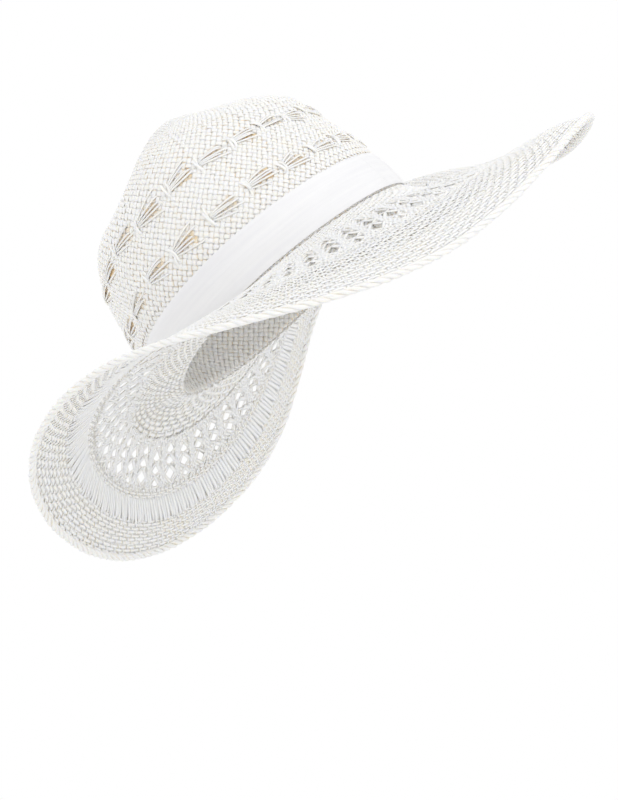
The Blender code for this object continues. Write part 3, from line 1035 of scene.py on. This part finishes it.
def straw_fibres(nodes, links):
    """Fine relief stretched along each strand."""
    run = add_node(nodes, "UVMap", uv_map="run")
    stretch = add_node(nodes, "Mapping", {"Scale": (3, 9, 1)})
    fibre = add_node(nodes, "TexNoise", {"Scale": 1, "Detail": 4})
    bump = add_node(nodes, "Bump", {"Strength": 0.35, "Distance": 0.0003})
    links.new(run.outputs["UV"], stretch.inputs["Vector"])
    links.new(stretch.outputs["Vector"], fibre.inputs["Vector"])
    links.new(fibre.outputs["Fac"], bump.inputs["Height"])
    return bump.outputs["Normal"]


# %% The straw of the crown, the brim and the rope
def straw_finish(name, light, warm, depth, shade_share, roughness):
    """Semi-matt paper straw that lets a little light through."""
    material, nodes, links = new_finish(name)
    shader = nodes["Principled BSDF"]
    shader.inputs["Roughness"].default_value = roughness
    shader.inputs["Subsurface Weight"].default_value = 0.3
    shader.inputs["Subsurface Radius"].default_value = (1.0, 0.85, 0.6)
    shader.inputs["Subsurface Scale"].default_value = 0.0015
    colour = straw_colour_and_shade(nodes, links, light, warm, depth, shade_share)
    links.new(colour, shader.inputs["Base Color"])
    links.new(straw_fibres(nodes, links), shader.inputs["Normal"])
    return material


WHITE, BRIM_WHITE = (0.96, 0.955, 0.94), (0.96, 0.955, 0.945)
CREAM, BRIM_CREAM = (0.95, 0.92, 0.85), (0.95, 0.93, 0.88)
# The tans are painted shade: for the gaps deep in the weave, and on the rope between its strands.
CROWN_SHADE_TAN, BRIM_SHADE_TAN, ROPE_SHADE_TAN = (0.86, 0.58, 0.24), (0.92, 0.80, 0.58), (0.90, 0.76, 0.52)
crown_finish = straw_finish("crown straw", WHITE, CREAM, CROWN_SHADE_TAN, 1.0, 0.55)
brim_finish = straw_finish("brim straw", BRIM_WHITE, BRIM_CREAM, BRIM_SHADE_TAN, 0.6, 0.55)
rope_finish = straw_finish("rope straw", WHITE, BRIM_CREAM, ROPE_SHADE_TAN, 0.5, 0.50)
print("nodes in a straw finish:", len(crown_finish.node_tree.nodes))

# %% [markdown]
# The ribbon is a close white weave with fine cross ribs.  Its sheen is soft, a few creases
# run along it, and its colour is a shade cooler than the straw, with painted grey-blue shade in
# the hollows of the creases.  The ribs are too fine to be geometry, so they are a wave in the
# relief.

# %% Ribbon finish
def ribbon_white_and_crease_shade(nodes, links, cloud):
    """Two near whites in long soft streaks; the darker, bluer one is painted shade in the hollows of
    the creases.
    """
    colour = add_node(nodes, "ValToRGB")
    shade, light = colour.color_ramp.elements
    shade.position = 0.35
    shade.color = (0.855, 0.855, 0.875, 1)
    light.position = 0.65
    light.color = (0.89, 0.89, 0.90, 1)
    links.new(cloud.outputs["Fac"], colour.inputs["Fac"])
    return colour.outputs["Color"]


def ribbon_finish():
    """White ribbed ribbon with a soft sheen."""
    material, nodes, links = new_finish("white ribbon")
    shader = nodes["Principled BSDF"]
    shader.inputs["Roughness"].default_value = 0.62
    shader.inputs["Sheen Weight"].default_value = 0.25
    shader.inputs["Sheen Roughness"].default_value = 0.5
    run = add_node(nodes, "UVMap", uv_map="run")
    long_way = add_node(nodes, "Mapping", {"Scale": (0.012, 0.30, 1)})
    cloud = add_node(nodes, "TexNoise", {"Scale": 1, "Detail": 3})
    links.new(run.outputs["UV"], long_way.inputs["Vector"])
    links.new(long_way.outputs["Vector"], cloud.inputs["Vector"])
    links.new(ribbon_white_and_crease_shade(nodes, links, cloud), shader.inputs["Base Color"])
    ribs = add_node(nodes, "TexWave", {"Scale": 0.42, "Distortion": 0.6}, bands_direction="X")
    links.new(run.outputs["UV"], ribs.inputs["Vector"])
    rib_bump = add_node(nodes, "Bump", {"Strength": 0.22, "Distance": 0.0001})
    links.new(ribs.outputs["Fac"], rib_bump.inputs["Height"])
    # The same streaks shape the creases, so the painted shade lies in their hollows.
    crease_bump = add_node(nodes, "Bump", {"Strength": 0.35, "Distance": 0.0012})
    links.new(cloud.outputs["Fac"], crease_bump.inputs["Height"])
    links.new(rib_bump.outputs["Normal"], crease_bump.inputs["Normal"])
    links.new(crease_bump.outputs["Normal"], shader.inputs["Normal"])
    return material


white_ribbon = ribbon_finish()

# %% [markdown]
# ## Handing the pieces over
# Every piece rides on the hat's one body, takes the place of a solid of the frame, and
# gets its finish.

# %% Give each piece its finish, its body and the solid that it stands for
for name, material, node, slot in (
        ("crown_weave_leaning", crown_finish, "crown", "crown_straw"),
        ("crown_weave_crossing", crown_finish, "crown", "crown_straw"),
        ("crown_top_patch", crown_finish, "crown", "crown_straw"),
        ("crown_fans", crown_finish, "crown", "crown_straw"),
        ("brim_weave_inner", brim_finish, "brim", "brim_straw"),
        ("brim_openwork_leaning", brim_finish, "brim", "brim_straw"),
        ("brim_openwork_crossing", brim_finish, "brim", "brim_straw"),
        ("brim_courses", brim_finish, "brim", "brim_straw"),
        ("brim_outward_strands", brim_finish, "brim", "brim_straw"),
        ("brim_smooth_strands", brim_finish, "brim", "brim_straw"),
        ("edge_rope", rope_finish, "edge_braid", "braid_straw"),
        ("ribbon_band", white_ribbon, "hat_band", "ribbon"),
        ("ribbon_lap", white_ribbon, "hat_band", "ribbon")):
    piece = pieces[name]
    piece.data.materials.append(material)
    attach(piece, "root")
    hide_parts(node)

# %% [markdown]
# ## Stage, light and camera
# The hat is shown before plain white with hardly a shadow.  A pale floor lies well below it,
# an even bright surround does most of the work, a broad soft lamp from the upper right
# gives the weave its relief, and a warm one from below lights the brim's underside.  The
# surround is a little brighter for the hat than for the camera, which keeps the background
# white without greying the straw.

# %% Floor and surround
FLOOR_HEIGHT, FLOOR_SIZE = -0.75, 30
bpy.ops.mesh.primitive_plane_add(size=FLOOR_SIZE, location=(0, 0, FLOOR_HEIGHT))
floor = bpy.context.object
floor.name = "floor"
pale, nodes, links = new_finish("pale floor")
nodes["Principled BSDF"].inputs["Base Color"].default_value = (0.9, 0.9, 0.9, 1)
nodes["Principled BSDF"].inputs["Roughness"].default_value = 0.9
floor.data.materials.append(pale)
floor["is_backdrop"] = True

SEEN, FELT = 1.0, 1.02  # strength of the surround for the camera and for the hat
world = bpy.data.worlds.new("studio")
world.use_nodes = True
bpy.context.scene.world = world
surround = world.node_tree.nodes["Background"]
surround.inputs["Color"].default_value = (1, 1, 1, 1)
path_kind = add_node(world.node_tree.nodes, "LightPath")
strength = add_node(world.node_tree.nodes, "MapRange", {"To Min": FELT, "To Max": SEEN})
world.node_tree.links.new(path_kind.outputs["Is Camera Ray"], strength.inputs["Value"])
world.node_tree.links.new(strength.outputs["Result"], surround.inputs["Strength"])
bpy.context.scene.view_settings.view_transform = "Standard"

# %% [markdown]
# The camera looks up at the hat from the wearer's right, with a roll, because the hat in
# the picture is worn at a tilt and here it stands upright.  Its place follows from three
# angles, a distance, and the point of the picture where the hat's origin falls.

# %% Camera at the picture's angle
PICTURE_WIDTH, PICTURE_HEIGHT, SENSOR = 618, 800, 36
AZIMUTH, ELEVATION, ROLL = -58.48, -13.42, 37.30
DISTANCE, FOCAL, CENTRE = 1.600, 2597.9, (289.58, 285.93)  # metres, then pixels


def camera_frame(azimuth, elevation, roll, distance, focal, centre):
    """Place and directions of the camera: azimuth round the hat, its roll and aim."""
    a, e, r = radians(azimuth), radians(elevation), radians(roll)
    back = Vector((sin(a) * cos(e), -cos(a) * cos(e), sin(e)))
    right = Vector((cos(a), sin(a), 0))
    up = back.cross(right)
    rolled_right = cos(r) * right - sin(r) * up
    rolled_up = sin(r) * right + cos(r) * up
    x, y = (centre[0] - PICTURE_WIDTH / 2) / focal, -(centre[1] - PICTURE_HEIGHT / 2) / focal
    aim = Vector((x, y, 1)).normalized()
    turn = Vector((0, 0, 1)).rotation_difference(aim).to_matrix()
    rows = turn @ Matrix((rolled_right, rolled_up, -back))
    return back * distance, rows


place, rows = camera_frame(AZIMUTH, ELEVATION, ROLL, DISTANCE, FOCAL, CENTRE)
lens = bpy.data.cameras.new("camera")
lens.lens = FOCAL / PICTURE_HEIGHT * SENSOR
lens.clip_start, lens.clip_end = 0.05, 50
camera = bpy.data.objects.new("camera", lens)
bpy.context.collection.objects.link(camera)
turned = Matrix((rows[0], rows[1], -rows[2])).transposed()
camera.matrix_world = Matrix.Translation(place) @ turned.to_4x4()
bpy.context.scene.camera = camera
print("camera at:", [round(value, 3) for value in place])


# %% Soft lamps
def lamp(name, towards, power, colour, distance=2.0, size=1.2):
    """A round soft lamp that shines at the hat from a direction."""
    light = bpy.data.lights.new(name, "AREA")
    light.color = colour
    light.shape, light.size, light.energy = "DISK", size, power
    thing = bpy.data.objects.new(name, light)
    bpy.context.collection.objects.link(thing)
    direction = Vector(towards).normalized()
    thing.location = direction * distance
    thing.rotation_mode = "QUATERNION"
    thing.rotation_quaternion = direction.to_track_quat("Z", "Y")
    return thing


picture_right, picture_up, picture_forward = rows[0], rows[1], rows[2]
PLAIN, WARM = (1, 1, 1), (1, 0.86, 0.62)
lamp("key", -picture_forward * 1.0 + picture_right * 0.7 + picture_up * 0.8, 5, PLAIN)
lamp("low warm", -picture_forward * 1.0 - picture_right * 0.2 - picture_up * 0.8, 7, WARM)

# %% Sizes, then the last line
size_box = [list(corner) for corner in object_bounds()]
for corner, before, after in zip(("low", "high"), cad_box, size_box):
    print(corner, "corner moves by (mm):", [round((b - a) * 1000, 1) for a, b in zip(before, after)])
